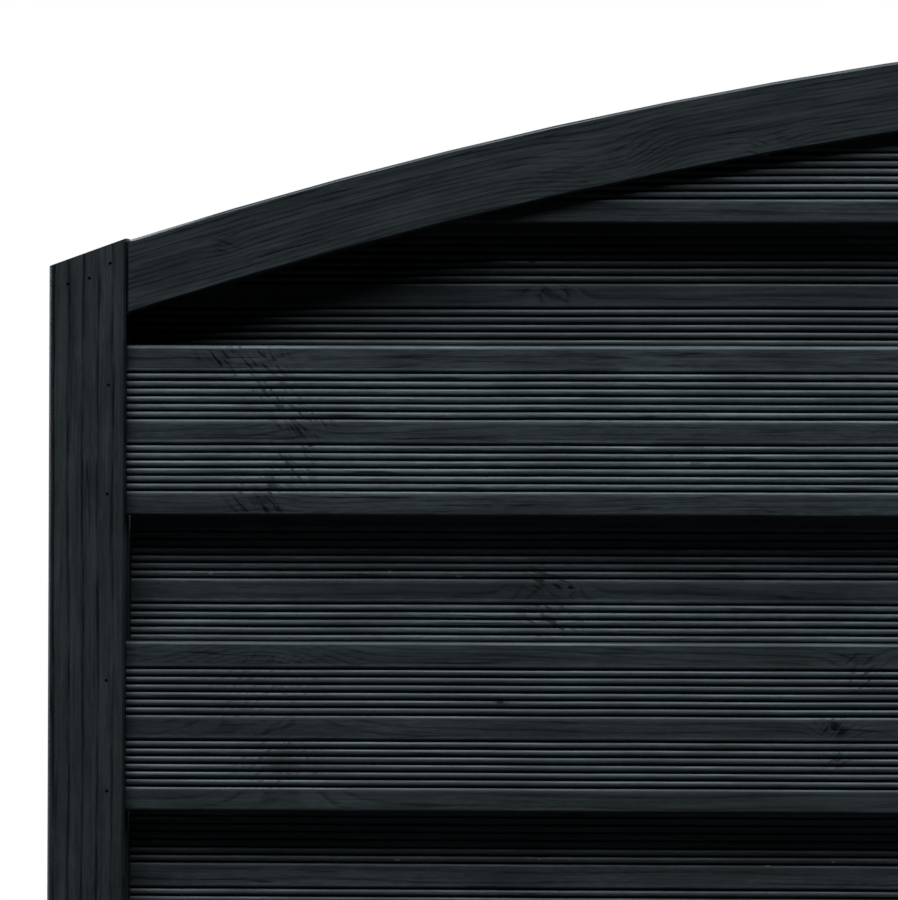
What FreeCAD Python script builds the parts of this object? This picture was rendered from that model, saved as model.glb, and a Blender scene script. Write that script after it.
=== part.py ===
"""Framed fence panel with an arched head and two staggered layers of ribbed boards.

Millimetres, +Z up, +X along the panel from the left stile, front face towards -Y.
The origin is the middle of the left stile's outer face, where it meets the fence post.
"""
import FreeCAD, Part
import os

import Sketcher

PAST = 2.0      # how far a cutting outline reaches beyond the timber that it cuts
Vector = FreeCAD.Vector

doc = FreeCAD.newDocument("FencePanel")

# Driving dimensions, in millimetres
SIZES = {
    # whole panel
    "panel_width": "1800",
    "side_height": "1650",
    "arch_rise": "146",
    # frame timbers
    "frame_depth": "50",
    "stile_face": "43",
    "rail_face": "39",
    "bottom_rail_face": "43",
    "frame_bevel": "1.2",
    "stile_proud": "1.5",
    # grooves that hold the boards
    "lip_thickness": "8.5",
    "groove_depth": "16",
    "fit_clearance": "0.2",
    "expansion_gap": "1",
    # boards
    "board_width": "95",
    "board_thickness": "10",
    "front_boards": "11",
    "top_entry": "14",
    "board_round": "2",
    "top_board_drop": "2",
    "upper_back_drop": "6",
    # ribs on the board faces
    "rib_pitch": "4.26",
    "rib_groove_width": "2",
    "rib_groove_depth": "2.6",
    "rib_shoulder": "0.8",
    "grooves_in_group": "7",
    "group_spacing": "40",
}

sheet = doc.addObject("Spreadsheet::Sheet", "Sizes")
for row, (alias, number) in enumerate(SIZES.items(), start=1):
    sheet.set(f"A{row}", alias)
    sheet.set(f"B{row}", number)
    sheet.setAlias(f"B{row}", alias)
doc.recompute()


def size(alias):
    """The expression that names one driving dimension."""
    return f"Sizes.{alias}"


def value(expression):
    """The present value of an expression in the sizes."""
    found = sheet.evalExpression(str(expression))
    return float(getattr(found, "Value", found))


# Places worked out from the driving dimensions
WIDTH = size("panel_width")
MIDDLE = f"{WIDTH} / 2"
FOOT = f"(0 - {size('side_height')} / 2)"
SIDE_TOP = f"({size('side_height')} / 2)"
ARCH_RADIUS = f"((({MIDDLE})^2 + {size('arch_rise')}^2) / (2 * {size('arch_rise')}))"
ARCH_CENTRE = f"({SIDE_TOP} + {size('arch_rise')} - {ARCH_RADIUS})"
RIGHT_STILE = f"({WIDTH} - {size('stile_face')})"
GROOVE_WIDTH = f"({size('board_thickness')} + 2 * {size('fit_clearance')})"
TENON = f"({size('frame_depth')} - 2 * {size('lip_thickness')} - 2 * {GROOVE_WIDTH})"
LAYER_Y = f"(({TENON} + {GROOVE_WIDTH}) / 2)"
SLOT_WIDTH = f"({TENON} + 2 * {size('fit_clearance')})"
BOTTOM_TOP = f"({FOOT} + {size('bottom_rail_face')})"
SEAT = f"({BOTTOM_TOP} - {size('groove_depth')})"
BOARD_LENGTH = f"({WIDTH} - 2 * ({size('stile_face')} - {size('groove_depth')} + {size('expansion_gap')}))"


def arch_height(across, inset):
    """Height of the arch line, lowered by inset along its radius, at a place along the panel."""
    return f"({ARCH_CENTRE} + sqrt(({ARCH_RADIUS} - ({inset}))^2 - ({MIDDLE} - ({across}))^2))"


# The layers' common rise from board to board, with the top front board's head in the arch's groove
TOP_EDGE = f"({arch_height(MIDDLE, size('rail_face'))} + {size('top_entry')})"
BOARD_STEP = f"(({TOP_EDGE} - {size('board_width')} - {SEAT}) / (2 * ({size('front_boards')} - 1)))"


def new_body(label):
    body = doc.addObject("PartDesign::Body", label)
    body.Label = label
    return body


def new_sketch(body, name, role, offset=None):
    """A sketch on one of the body's own origin planes, moved along the plane's normal."""
    sketch = body.newObject("Sketcher::SketchObject", name)
    planes = body.Origin.OriginFeatures
    plane = next(feature for feature in planes if feature.Role == role)
    sketch.AttachmentSupport = [(plane, "")]
    sketch.MapMode = "FlatFace"
    if offset is not None:
        sketch.setExpression(".AttachmentOffset.Base.z", offset)
    return sketch


def arc_between(start, end, radius, bulge):
    """An arc joining two corners, and which of its own ends lies at the first of them.

    bulge is +1 or -1, the side of the line from start to end that the arc bows to.
    """
    chord = end - start
    side = Vector(-chord.y, chord.x, 0)
    side.normalize()
    depth = max(radius ** 2 - (chord.Length / 2) ** 2, 0) ** 0.5
    centre = (start + end) * 0.5 - side * (depth * bulge)
    circle = Part.Circle(centre, Vector(0, 0, 1), radius)
    first, second = (end, start) if bulge > 0 else (start, end)
    arc = Part.ArcOfCircle(circle, circle.parameter(first), circle.parameter(second))
    return arc, 2 if bulge > 0 else 1


def outline(sketch, corners, arcs=None):
    """Close an outline through corners given as pairs of expressions.

    arcs maps an edge's number to its radius and the side that it bows to.
    """
    arcs = arcs or {}
    points = [Vector(value(across), value(up), 0) for across, up in corners]
    first = sketch.GeometryCount
    starts = []
    for number, start in enumerate(points):
        end = points[(number + 1) % len(points)]
        if number in arcs:
            radius, bulge = arcs[number]
            line, first_end = arc_between(start, end, value(radius), bulge)
        else:
            line, first_end = Part.LineSegment(start, end), 1
        sketch.addGeometry(line, False)
        starts.append(first_end)
    for number, (across, up) in enumerate(corners):
        edge = first + number
        before = first + (number - 1) % len(points)
        before_end = 3 - starts[(number - 1) % len(points)]
        sketch.addConstraint(Sketcher.Constraint("Coincident", before, before_end, edge, starts[number]))
        for kind, expression in (("DistanceX", across), ("DistanceY", up)):
            here = value(expression)
            index = sketch.addConstraint(Sketcher.Constraint(kind, -1, 1, edge, starts[number], here))
            sketch.setExpression(f"Constraints[{index}]", str(expression))
        if number in arcs:
            radius = arcs[number][0]
            index = sketch.addConstraint(Sketcher.Constraint("Radius", edge, value(radius)))
            sketch.setExpression(f"Constraints[{index}]", str(radius))


def pad(body, sketch, name, length):
    """Thicken a sketch by length, half to each side of its plane."""
    feature = body.newObject("PartDesign::Pad", name)
    feature.Profile = sketch
    feature.Midplane = True
    feature.setExpression("Length", length)
    sketch.Visibility = False
    return feature


def pocket(body, sketch, name, length):
    """Cut a sketch by length, half to each side of its plane."""
    feature = body.newObject("PartDesign::Pocket", name)
    feature.Profile = sketch
    feature.Midplane = True
    feature.setExpression("Length", length)
    sketch.Visibility = False
    return feature


def ease_arrises(body, timber, name):
    """Bevel the four long arrises of a timber, where its front and back faces end."""
    doc.recompute()
    longest = max(edge.Length for edge in timber.Shape.Edges)
    long_edges = []
    for number, edge in enumerate(timber.Shape.Edges, start=1):
        if edge.Length > longest / 2:
            long_edges.append(f"Edge{number}")
    bevel = body.newObject("PartDesign::Chamfer", name)
    bevel.Base = (timber, long_edges)
    bevel.setExpression("Size", size("frame_bevel"))
    return bevel


def make_stile(label, mirrored):
    """A stile: a timber with twin grooves, its head cut to the slope of the arch.

    Its head and foot are slotted for the rails' tenons.
    """
    face = size("stile_face")

    def across(distance):
        return f"({WIDTH} - ({distance}))" if mirrored else f"({distance})"

    body = new_body(label)
    inner_top = f"({arch_height(face, 0)} + {size('stile_proud')})"
    side = new_sketch(body, f"{label}_face", "XZ_Plane")
    outline(side, [(across("0"), FOOT), (across(face), FOOT), (across(face), inner_top), (across("0"), SIDE_TOP)])
    timber = pad(body, side, f"{label}_timber", size("frame_depth"))
    ease_arrises(body, timber, f"{label}_arrises")

    groove_side = f"({face} - {size('groove_depth')})"
    groove_end = f"({face} + {PAST})"
    groove_top = f"({arch_height(face, size('rail_face') + ' - ' + size('groove_depth'))})"
    for layer, sign in (("front", ""), ("back", "0 - ")):
        groove = new_sketch(body, f"{label}_{layer}_groove_line", "XZ_Plane", f"{sign}{LAYER_Y}")
        outline(groove, [
            (across(groove_side), SEAT),
            (across(groove_end), SEAT),
            (across(groove_end), groove_top),
            (across(groove_side), groove_top),
        ])
        pocket(body, groove, f"{label}_{layer}_groove", GROOVE_WIDTH)

    head = new_sketch(body, f"{label}_head_slot_line", "XZ_Plane")
    low_out = f"({arch_height('0', size('rail_face'))} - {size('fit_clearance')})"
    low_in = f"({arch_height(face, size('rail_face'))} - {size('fit_clearance')})"
    above = f"({inner_top} + {PAST})"
    outline(head, [(across("0"), low_out), (across(face), low_in), (across(face), above), (across("0"), above)])
    pocket(body, head, f"{label}_head_slot", SLOT_WIDTH)

    foot = new_sketch(body, f"{label}_foot_slot_line", "XZ_Plane")
    slot_top = f"({BOTTOM_TOP} + {size('fit_clearance')})"
    outline(foot, [(across("0"), FOOT), (across(face), FOOT), (across(face), slot_top), (across("0"), slot_top)])
    pocket(body, foot, f"{label}_foot_slot", SLOT_WIDTH)
    return body


def arch_band(sketch, left, right, outer_inset, inner_inset):
    """An outline between two arcs struck from the arch's centre."""
    outline(sketch, [
        (left, arch_height(left, inner_inset)),
        (right, arch_height(right, inner_inset)),
        (right, arch_height(right, outer_inset)),
        (left, arch_height(left, outer_inset)),
    ], {
        0: (f"{ARCH_RADIUS} - ({inner_inset})", 1),
        2: (f"{ARCH_RADIUS} - ({outer_inset})", -1),
    })


def make_arch_rail():
    """The arched top rail, with a tenon at each end and twin grooves under it."""
    label = "arch_rail"
    body = new_body(label)
    span = new_sketch(body, f"{label}_face", "XZ_Plane")
    arch_band(span, size("stile_face"), RIGHT_STILE, "0", size("rail_face"))
    timber = pad(body, span, f"{label}_timber", size("frame_depth"))
    ease_arrises(body, timber, f"{label}_arrises")
    tenons = new_sketch(body, f"{label}_tenon_line", "XZ_Plane")
    arch_band(tenons, "0", WIDTH, "0", size("rail_face"))
    pad(body, tenons, f"{label}_tenons", TENON)
    groove_roof = f"{size('rail_face')} - {size('groove_depth')}"
    for layer, sign in (("front", ""), ("back", "0 - ")):
        groove = new_sketch(body, f"{label}_{layer}_groove_line", "XZ_Plane", f"{sign}{LAYER_Y}")
        arch_band(groove, size("stile_face"), RIGHT_STILE, groove_roof, f"{size('rail_face')} + {PAST}")
        pocket(body, groove, f"{label}_{layer}_groove", GROOVE_WIDTH)
    return body


def make_bottom_rail():
    """The straight bottom rail, with a tenon at each end and a groove for the lowest front board."""
    label = "bottom_rail"
    body = new_body(label)
    span = new_sketch(body, f"{label}_face", "XZ_Plane")
    left = size("stile_face")
    outline(span, [(left, FOOT), (RIGHT_STILE, FOOT), (RIGHT_STILE, BOTTOM_TOP), (left, BOTTOM_TOP)])
    timber = pad(body, span, f"{label}_timber", size("frame_depth"))
    ease_arrises(body, timber, f"{label}_arrises")
    tenons = new_sketch(body, f"{label}_tenon_line", "XZ_Plane")
    outline(tenons, [("0", FOOT), (WIDTH, FOOT), (WIDTH, BOTTOM_TOP), ("0", BOTTOM_TOP)])
    pad(body, tenons, f"{label}_tenons", TENON)
    groove = new_sketch(body, f"{label}_groove_line", "XZ_Plane", LAYER_Y)
    above = f"({BOTTOM_TOP} + {PAST})"
    outline(groove, [(left, SEAT), (RIGHT_STILE, SEAT), (RIGHT_STILE, above), (left, above)])
    pocket(body, groove, f"{label}_groove", GROOVE_WIDTH)
    return body


def board_section(sketch):
    """The board's section, with its four arrises rounded."""
    half_y = f"({size('board_thickness')} / 2)"
    half_z = f"({size('board_width')} / 2)"
    arris = size("board_round")
    corners = []
    for side_y, side_z in (("0 - ", "0 - "), ("", "0 - "), ("", ""), ("0 - ", "")):
        on_edge = (f"{side_y}({half_y} - {arris})", f"{side_z}{half_z}")
        on_face = (f"{side_y}{half_y}", f"{side_z}({half_z} - {arris})")
        turning_in = (side_y == "") == (side_z == "0 - ")
        corners += [on_edge, on_face] if turning_in else [on_face, on_edge]
    outline(sketch, corners, {number: (arris, -1) for number in (0, 2, 4, 6)})


def rib_groove(sketch):
    """One groove between two ribs: the lowest of the lower group, with bevelled shoulders."""
    face = f"(0 - {size('board_thickness')} / 2)"
    centre = f"(0 - {size('group_spacing')} / 2 - ({size('grooves_in_group')} - 1) / 2 * {size('rib_pitch')})"
    half = f"({size('rib_groove_width')} / 2)"
    shoulder = size("rib_shoulder")
    floor = f"({face} + {size('rib_groove_depth')})"
    turn = f"({face} + {shoulder})"
    outline(sketch, [
        (f"{face} - {PAST}", f"{centre} - {half} - {shoulder} - {PAST}"),
        (turn, f"{centre} - {half}"),
        (floor, f"{centre} - {half}"),
        (floor, f"{centre} + {half}"),
        (turn, f"{centre} + {half}"),
        (f"{face} - {PAST}", f"{centre} + {half} + {shoulder} + {PAST}"),
    ])


def make_board(label, layer_y, height):
    """One ribbed board, its ends in the stiles' grooves and its head scribed to the arch where it meets it."""
    body = new_body(label)
    section = new_sketch(body, f"{label}_section", "YZ_Plane")
    board_section(section)
    pad(body, section, f"{label}_plank", BOARD_LENGTH)

    cutter = new_sketch(body, f"{label}_rib_line", "YZ_Plane")
    rib_groove(cutter)
    first_groove = pocket(body, cutter, f"{label}_rib_groove", f"{BOARD_LENGTH} + {2 * PAST}")
    axis = next(feature for feature in body.Origin.OriginFeatures if feature.Role == "Z_Axis")
    ribs = body.newObject("PartDesign::MultiTransform", f"{label}_ribs")
    ribs.Originals = [first_groove]
    group = body.newObject("PartDesign::LinearPattern", f"{label}_rib_group")
    group.Direction = (axis, [""])
    group.setExpression("Length", f"({size('grooves_in_group')} - 1) * {size('rib_pitch')}")
    group.setExpression("Occurrences", size("grooves_in_group"))
    groups = body.newObject("PartDesign::LinearPattern", f"{label}_rib_groups")
    groups.Direction = (axis, [""])
    groups.setExpression("Length", size("group_spacing"))
    groups.Occurrences = 2
    ribs.Transformations = [group, groups]
    body.Tip = ribs

    scribe_inset = f"({size('rail_face')} - {size('groove_depth')} + {size('expansion_gap')})"
    board_end = f"({MIDDLE} - {BOARD_LENGTH} / 2)"
    board_top = value(height) + value(size("board_width")) / 2
    if board_top > value(arch_height(board_end, scribe_inset)):
        scribe = new_sketch(body, f"{label}_scribe_line", "XZ_Plane")
        half = f"({BOARD_LENGTH} / 2 + {PAST})"
        level = f"({arch_height(f'{MIDDLE} - {half}', scribe_inset)} - ({height}))"
        above = f"({SIDE_TOP} + {size('arch_rise')} + {size('board_width')} - ({height}))"
        outline(scribe, [(f"0 - {half}", level), (half, level), (half, above), (f"0 - {half}", above)],
                {0: (f"{ARCH_RADIUS} - {scribe_inset}", 1)})
        body.Tip = pocket(body, scribe, f"{label}_scribe", f"{size('board_thickness')} + {2 * PAST}")
    body.setExpression(".Placement.Base.x", MIDDLE)
    body.setExpression(".Placement.Base.y", layer_y)
    body.setExpression(".Placement.Base.z", height)
    return body


def make_boards():
    """Both layers of boards, numbered from the top, with the back boards behind the gaps between the front ones."""
    count = round(value(size("front_boards")))
    steps = 2 * (count - 1)
    boards = []
    for step in range(steps + 1):
        height = f"({SEAT} + {size('board_width')} / 2 + {step} * {BOARD_STEP})"
        number = (steps - step) // 2 + 1
        if step == steps:
            height = f"({height} - {size('top_board_drop')})"
        if step in (steps - 1, steps - 3):
            height = f"({height} - {size('upper_back_drop')})"
        if step % 2 == 0:
            boards.append(make_board(f"front_board_{number:02d}", f"0 - {LAYER_Y}", height))
        else:
            boards.append(make_board(f"back_board_{number:02d}", LAYER_Y, height))
    return boards


pieces = [
    make_stile("stile_left", mirrored=False),
    make_stile("stile_right", mirrored=True),
    make_arch_rail(),
    make_bottom_rail(),
]
pieces += make_boards()
doc.recompute()

for item in doc.Objects:
    if "Invalid" in item.State or "Error" in item.State:
        raise RuntimeError(f"{item.Label} did not build: {item.State}")
for piece in pieces:
    if piece.Shape.isNull() or not piece.Shape.isValid() or len(piece.Shape.Solids) != 1:
        raise RuntimeError(f"{piece.Label} is not one valid solid")

os.makedirs("parts", exist_ok=True)
for piece in pieces:
    piece.Shape.exportStep(os.path.join("parts", f"{piece.Label}.step"))
print(f"{len(pieces)} pieces")
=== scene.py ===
"""Looks of an arched fence panel: ribbed, black-stained boards in a grooved timber frame.

Metres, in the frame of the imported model: +X along the panel, front face towards -Y, +Z up.
"""
import math
import random

import bmesh
import bpy
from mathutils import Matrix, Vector


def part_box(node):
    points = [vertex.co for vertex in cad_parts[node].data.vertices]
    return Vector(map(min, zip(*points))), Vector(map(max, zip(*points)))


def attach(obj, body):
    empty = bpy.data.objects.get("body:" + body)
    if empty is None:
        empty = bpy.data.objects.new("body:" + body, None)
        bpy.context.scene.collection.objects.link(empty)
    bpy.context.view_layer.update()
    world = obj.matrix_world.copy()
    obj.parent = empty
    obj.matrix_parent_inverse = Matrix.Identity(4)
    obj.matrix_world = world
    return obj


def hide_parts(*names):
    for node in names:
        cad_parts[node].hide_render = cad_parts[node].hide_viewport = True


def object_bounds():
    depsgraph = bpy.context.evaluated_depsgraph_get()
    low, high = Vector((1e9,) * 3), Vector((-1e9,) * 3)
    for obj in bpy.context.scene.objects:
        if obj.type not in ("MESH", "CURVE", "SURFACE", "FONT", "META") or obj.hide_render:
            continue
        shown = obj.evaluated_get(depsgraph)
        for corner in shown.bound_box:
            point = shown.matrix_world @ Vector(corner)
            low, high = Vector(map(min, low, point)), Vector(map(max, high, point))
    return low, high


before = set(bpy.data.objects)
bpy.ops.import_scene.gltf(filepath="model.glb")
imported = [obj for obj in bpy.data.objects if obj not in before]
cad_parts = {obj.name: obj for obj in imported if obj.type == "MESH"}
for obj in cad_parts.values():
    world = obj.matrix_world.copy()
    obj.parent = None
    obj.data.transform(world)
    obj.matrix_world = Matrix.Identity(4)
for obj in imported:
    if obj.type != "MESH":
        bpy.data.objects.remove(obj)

bl_info = {
    "name": "Ribbed Fence Panel",
    "version": (1, 0, 0),
    "blender": (4, 5, 0),
    "location": "3D View > Sidebar > Fence",
    "description": "Models and finishes an arched fence panel with ribbed boards",
    "category": "Object",
}

MM = 0.001
PANEL_LOW, PANEL_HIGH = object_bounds()
PANEL_MIDDLE = (PANEL_LOW.x + PANEL_HIGH.x) / 2
FRONT_FACE = PANEL_LOW.y
BACK_FACE = PANEL_HIGH.y
FOOT = PANEL_LOW.z

FULL_LOW, FULL_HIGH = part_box("front_board_05")
BOARD_LENGTH = FULL_HIGH.x - FULL_LOW.x
BOARD_THICKNESS = FULL_HIGH.y - FULL_LOW.y
BOARD_WIDTH = FULL_HIGH.z - FULL_LOW.z
STILE_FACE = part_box("stile_left")[1].x - PANEL_LOW.x

# How light the photograph shows the upper boards: a factor for their flats, and one for the painted
# highlight on their ribs beside their flats
BOARD_TINTS = {
    "front_board_01": (1.14, 0.78),
    "front_board_02": (1.14, 1.08),
    "front_board_03": (0.87, 0.72),
    "back_board_01": (1.05, 0.56),
    "back_board_02": (0.97, 1.25),
    "back_board_03": (1.65, 0.60),
}

# Slant of the torn fibres, in degrees: positive where they fall to the right
TEAR_ANGLES = {"front_board_02": 50, "front_board_03": -45}

BOARD_NODES = sorted(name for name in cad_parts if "_board_" in name)
TIMBER_NODES = sorted(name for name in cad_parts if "_board_" not in name)


class FenceBoardSettings(bpy.types.PropertyGroup):
    """Sizes of the ribs, the arrises and the arch that the top boards are cut to"""

    rib_pitch: bpy.props.FloatProperty(
        name="Rib Pitch", description="From one rib to the next", default=4.26 * MM, unit="LENGTH")
    groove_width: bpy.props.FloatProperty(
        name="Groove Width", description="Between the straight sides of two ribs",
        default=1.0 * MM, unit="LENGTH")
    groove_depth: bpy.props.FloatProperty(
        name="Groove Depth", description="From the ribs' crests to the grooves' floors",
        default=2.6 * MM, unit="LENGTH")
    rib_round: bpy.props.FloatProperty(
        name="Rib Rounding", description="Height of a rib's rounded shoulder",
        default=1.55 * MM, unit="LENGTH")
    rib_flatness: bpy.props.FloatProperty(
        name="Rib Flatness", description="Depth of a shoulder for each unit of its height", default=0.62,
        min=0.1, max=1, subtype="FACTOR")
    grooves_in_group: bpy.props.IntProperty(
        name="Grooves in a Group", description="Grooves side by side between two flats", default=7)
    group_spacing: bpy.props.FloatProperty(
        name="Group Spacing", description="Between the middles of the two groups",
        default=40 * MM, unit="LENGTH")
    group_drop: bpy.props.FloatProperty(
        name="Group Drop", description="How far both groups lie below the board's middle",
        default=0.6 * MM, unit="LENGTH")
    arris_round: bpy.props.FloatProperty(
        name="Arris Rounding", description="Radius of the boards' long edges",
        default=2.2 * MM, unit="LENGTH")
    length_cuts: bpy.props.IntProperty(
        name="Length Cuts", description="Cuts along a board, which let its ribs waver", default=80)
    waver: bpy.props.FloatProperty(
        name="Rib Waver", description="How far the ribs stray up and down",
        default=0.35 * MM, unit="LENGTH")
    hollow: bpy.props.FloatProperty(
        name="Face Unevenness", description="How far the face rises and falls",
        default=0.25 * MM, unit="LENGTH")
    arch_rise: bpy.props.FloatProperty(
        name="Arch Rise", description="From the sides to the top of the arch", default=0.146, unit="LENGTH")
    scribe_inset: bpy.props.FloatProperty(
        name="Scribe Inset", description="From the arch's top to the heads of the boards in its grooves",
        default=24 * MM, unit="LENGTH")


class FenceTimberSettings(bpy.types.PropertyGroup):
    """Softness of the stiles and rails, their open joints and the nails' pits"""

    arris_softness: bpy.props.FloatProperty(
        name="Arris Softness", description="Width of the rounding on each bevelled edge",
        default=0.35 * MM, unit="LENGTH")
    joint_gap: bpy.props.FloatProperty(
        name="Joint Gap", description="Opening between the arched rail and a stile",
        default=1.5 * MM, unit="LENGTH")
    pit_radius: bpy.props.FloatProperty(
        name="Pit Radius", description="Radius of the pit over a nail", default=1.05 * MM, unit="LENGTH")
    pit_depth: bpy.props.FloatProperty(
        name="Pit Depth", description="How deep a nail is sunk", default=1.8 * MM, unit="LENGTH")


class FenceFinishSettings(bpy.types.PropertyGroup):
    """Colours and roughness of the stained timber and the nails"""

    board_stain: bpy.props.FloatVectorProperty(
        name="Board Stain", description="Stain on the ribbed boards", subtype="COLOR", size=3,
        min=0, max=1, default=(0.0119, 0.0155, 0.0176))
    frame_stain: bpy.props.FloatVectorProperty(
        name="Frame Stain", description="Stain on the stiles and rails", subtype="COLOR", size=3,
        min=0, max=1, default=(0.0084, 0.0110, 0.0128))
    late_stain: bpy.props.FloatVectorProperty(
        name="Grain Line", description="Stain in the dark lines of the grain", subtype="COLOR", size=3,
        min=0, max=1, default=(0.0022, 0.0030, 0.0034))
    bare_wood: bpy.props.FloatVectorProperty(
        name="Bare Chips", description="Wood that shows where a splinter broke away", subtype="COLOR",
        size=3, min=0, max=1, default=(0.13, 0.15, 0.15))
    # Painted highlight: the colour on the ribs and arrises is made lighter by this factor, for the sheen that
    # they catch
    rib_painted_highlight: bpy.props.FloatProperty(
        name="Rib Lightness", description="How much lighter the stain is on the ribs and arrises",
        default=1.8, min=1)
    nail_metal: bpy.props.FloatVectorProperty(
        name="Nail Metal", description="Heads of the nails", subtype="COLOR", size=3,
        min=0, max=1, default=(0.02, 0.02, 0.02))
    roughness: bpy.props.FloatProperty(
        name="Roughness", description="Roughness of the stain", default=0.45,
        min=0, max=1, subtype="FACTOR")


class FenceStudioSettings(bpy.types.PropertyGroup):
    """The camera, the lamps and the floor"""

    camera_place: bpy.props.FloatVectorProperty(
        name="Camera Place", description="Where the camera stands", default=(1.15, -9.0, 0.62),
        subtype="XYZ", unit="LENGTH")
    camera_turn: bpy.props.FloatProperty(
        name="Camera Turn", description="Turned left of square on",
        default=math.radians(5.8884), subtype="ANGLE")
    camera_rise: bpy.props.FloatProperty(
        name="Camera Rise", description="Tilted up from level", default=math.radians(0.6534),
        subtype="ANGLE")
    camera_roll: bpy.props.FloatProperty(
        name="Camera Roll", description="Rolled about the line of sight", default=math.radians(0.2009),
        subtype="ANGLE")
    camera_lens: bpy.props.FloatProperty(
        name="Camera Lens", description="Focal length in millimetres",
        default=650.7, subtype="DISTANCE_CAMERA")
    lamp_radiance: bpy.props.FloatProperty(
        name="Key Radiance", description="Brightness of the large lamp's face", default=15.0)
    floor_level: bpy.props.FloatProperty(
        name="Floor Level", description="How pale the floor looks where no lamp reaches it", default=0.58)
    fill_level: bpy.props.FloatProperty(
        name="Fill Level", description="Light that comes from all round", default=0.0025)


def select_only(*pieces):
    """Leave object mode's selection at these pieces, with the first of them active."""
    if bpy.context.mode != "OBJECT":
        bpy.ops.object.mode_set(mode="OBJECT")
    bpy.ops.object.select_all(action="DESELECT")
    for piece in pieces:
        piece.select_set(True)
    bpy.context.view_layer.objects.active = pieces[0]


def edit(piece):
    """Enter edit mode on a piece, with everything selected."""
    select_only(piece)
    bpy.ops.object.mode_set(mode="EDIT")
    bpy.ops.mesh.select_mode(type="VERT")
    bpy.ops.mesh.select_all(action="SELECT")


def leave_edit():
    bpy.ops.object.mode_set(mode="OBJECT")


def choose(piece, kind, test):
    """In edit mode, select only the faces, edges or vertices that pass a test."""
    bpy.ops.mesh.select_mode(type={"faces": "FACE", "edges": "EDGE", "verts": "VERT"}[kind])
    bpy.ops.mesh.select_all(action="DESELECT")
    mesh = bmesh.from_edit_mesh(piece.data)
    for element in getattr(mesh, kind):
        element.select = test(element)
    mesh.select_flush_mode()
    bmesh.update_edit_mesh(piece.data)


def apply_modifiers(piece):
    select_only(piece)
    for modifier in list(piece.modifiers):
        bpy.ops.object.modifier_apply(modifier=modifier.name)


def apply_place(piece):
    select_only(piece)
    bpy.ops.object.transform_apply(location=True, rotation=True, scale=True)


def tidy_normals(piece):
    edit(piece)
    bpy.ops.mesh.remove_doubles(threshold=1e-6)
    bpy.ops.mesh.normals_make_consistent(inside=False)
    leave_edit()


def smooth_by_angle(piece, degrees):
    """Smooth the rounded edges, and let each large face keep its own flat shading."""
    select_only(piece)
    bpy.ops.object.shade_smooth_by_angle(angle=math.radians(degrees))
    weigh = piece.modifiers.new("weigh_normals", "WEIGHTED_NORMAL")
    weigh.keep_sharp = True
    apply_modifiers(piece)


def copy_of(piece, name):
    """A copy of a piece with a mesh of its own."""
    twin = piece.copy()
    twin.data = piece.data.copy()
    twin.name = name
    twin.data.name = name
    bpy.context.scene.collection.objects.link(twin)
    return twin


def arch_radius(settings):
    half = (PANEL_HIGH.x - PANEL_LOW.x) / 2
    return (half ** 2 + settings.arch_rise ** 2) / (2 * settings.arch_rise)


def input_value(node, socket, value):
    node.inputs[socket].default_value = value


def add_math(tree, operation, first, second=None, third=None):
    """A math node; each operand is a number or a socket."""
    node = tree.nodes.new("ShaderNodeMath")
    node.operation = operation
    for place, operand in enumerate((first, second, third)):
        if operand is None:
            continue
        if isinstance(operand, (int, float)):
            node.inputs[place].default_value = operand
        else:
            tree.links.new(operand, node.inputs[place])
    return node.outputs[0]


def add_remap(tree, value, low, high, new_low=0.0, new_high=1.0):
    """Map a value smoothly from one range to another."""
    node = tree.nodes.new("ShaderNodeMapRange")
    node.interpolation_type = "SMOOTHSTEP"
    tree.links.new(value, node.inputs["Value"])
    input_value(node, "From Min", low)
    input_value(node, "From Max", high)
    input_value(node, "To Min", new_low)
    input_value(node, "To Max", new_high)
    return node.outputs["Result"]


def add_noise(tree, vector, scale, detail=2.0, roughness=0.5):
    node = tree.nodes.new("ShaderNodeTexNoise")
    tree.links.new(vector, node.inputs["Vector"])
    input_value(node, "Scale", scale)
    input_value(node, "Detail", detail)
    input_value(node, "Roughness", roughness)
    return node.outputs["Fac"]


def add_scaled(tree, vector, factors):
    """A vector stretched along its three axes."""
    node = tree.nodes.new("ShaderNodeVectorMath")
    node.operation = "MULTIPLY"
    tree.links.new(vector, node.inputs[0])
    node.inputs[1].default_value = factors
    return node.outputs[0]


def add_vectors(tree, operation, first, second):
    """A vector math node between two sockets."""
    node = tree.nodes.new("ShaderNodeVectorMath")
    node.operation = operation
    tree.links.new(first, node.inputs[0])
    tree.links.new(second, node.inputs[1])
    return node.outputs[0]


def add_parts(tree, vector):
    """The three numbers of a vector."""
    node = tree.nodes.new("ShaderNodeSeparateXYZ")
    tree.links.new(vector, node.inputs[0])
    return node.outputs


def add_length(tree, first, second):
    """The distance from the origin of a place in a plane."""
    squares = add_math(tree, "ADD", add_math(tree, "MULTIPLY", first, first),
                       add_math(tree, "MULTIPLY", second, second))
    return add_math(tree, "SQRT", squares)


def add_mix(tree, factor, first, second):
    """A colour mix by a mask; each colour is a socket or a tuple."""
    node = tree.nodes.new("ShaderNodeMix")
    node.data_type = "RGBA"
    tree.links.new(factor, node.inputs[0])
    for place, colour in ((6, first), (7, second)):
        if isinstance(colour, tuple):
            node.inputs[place].default_value = (*colour, 1.0)
        else:
            tree.links.new(colour, node.inputs[place])
    return node.outputs[2]


def shade(colour, factor):
    """A colour made lighter or darker."""
    return tuple(channel * factor for channel in colour)


def group_sockets(tree, inputs, outputs):
    for name, kind, default in inputs:
        socket = tree.interface.new_socket(name=name, in_out="INPUT", socket_type=kind)
        if default is not None:
            socket.default_value = default
    for name, kind in outputs:
        tree.interface.new_socket(name=name, in_out="OUTPUT", socket_type=kind)


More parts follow.
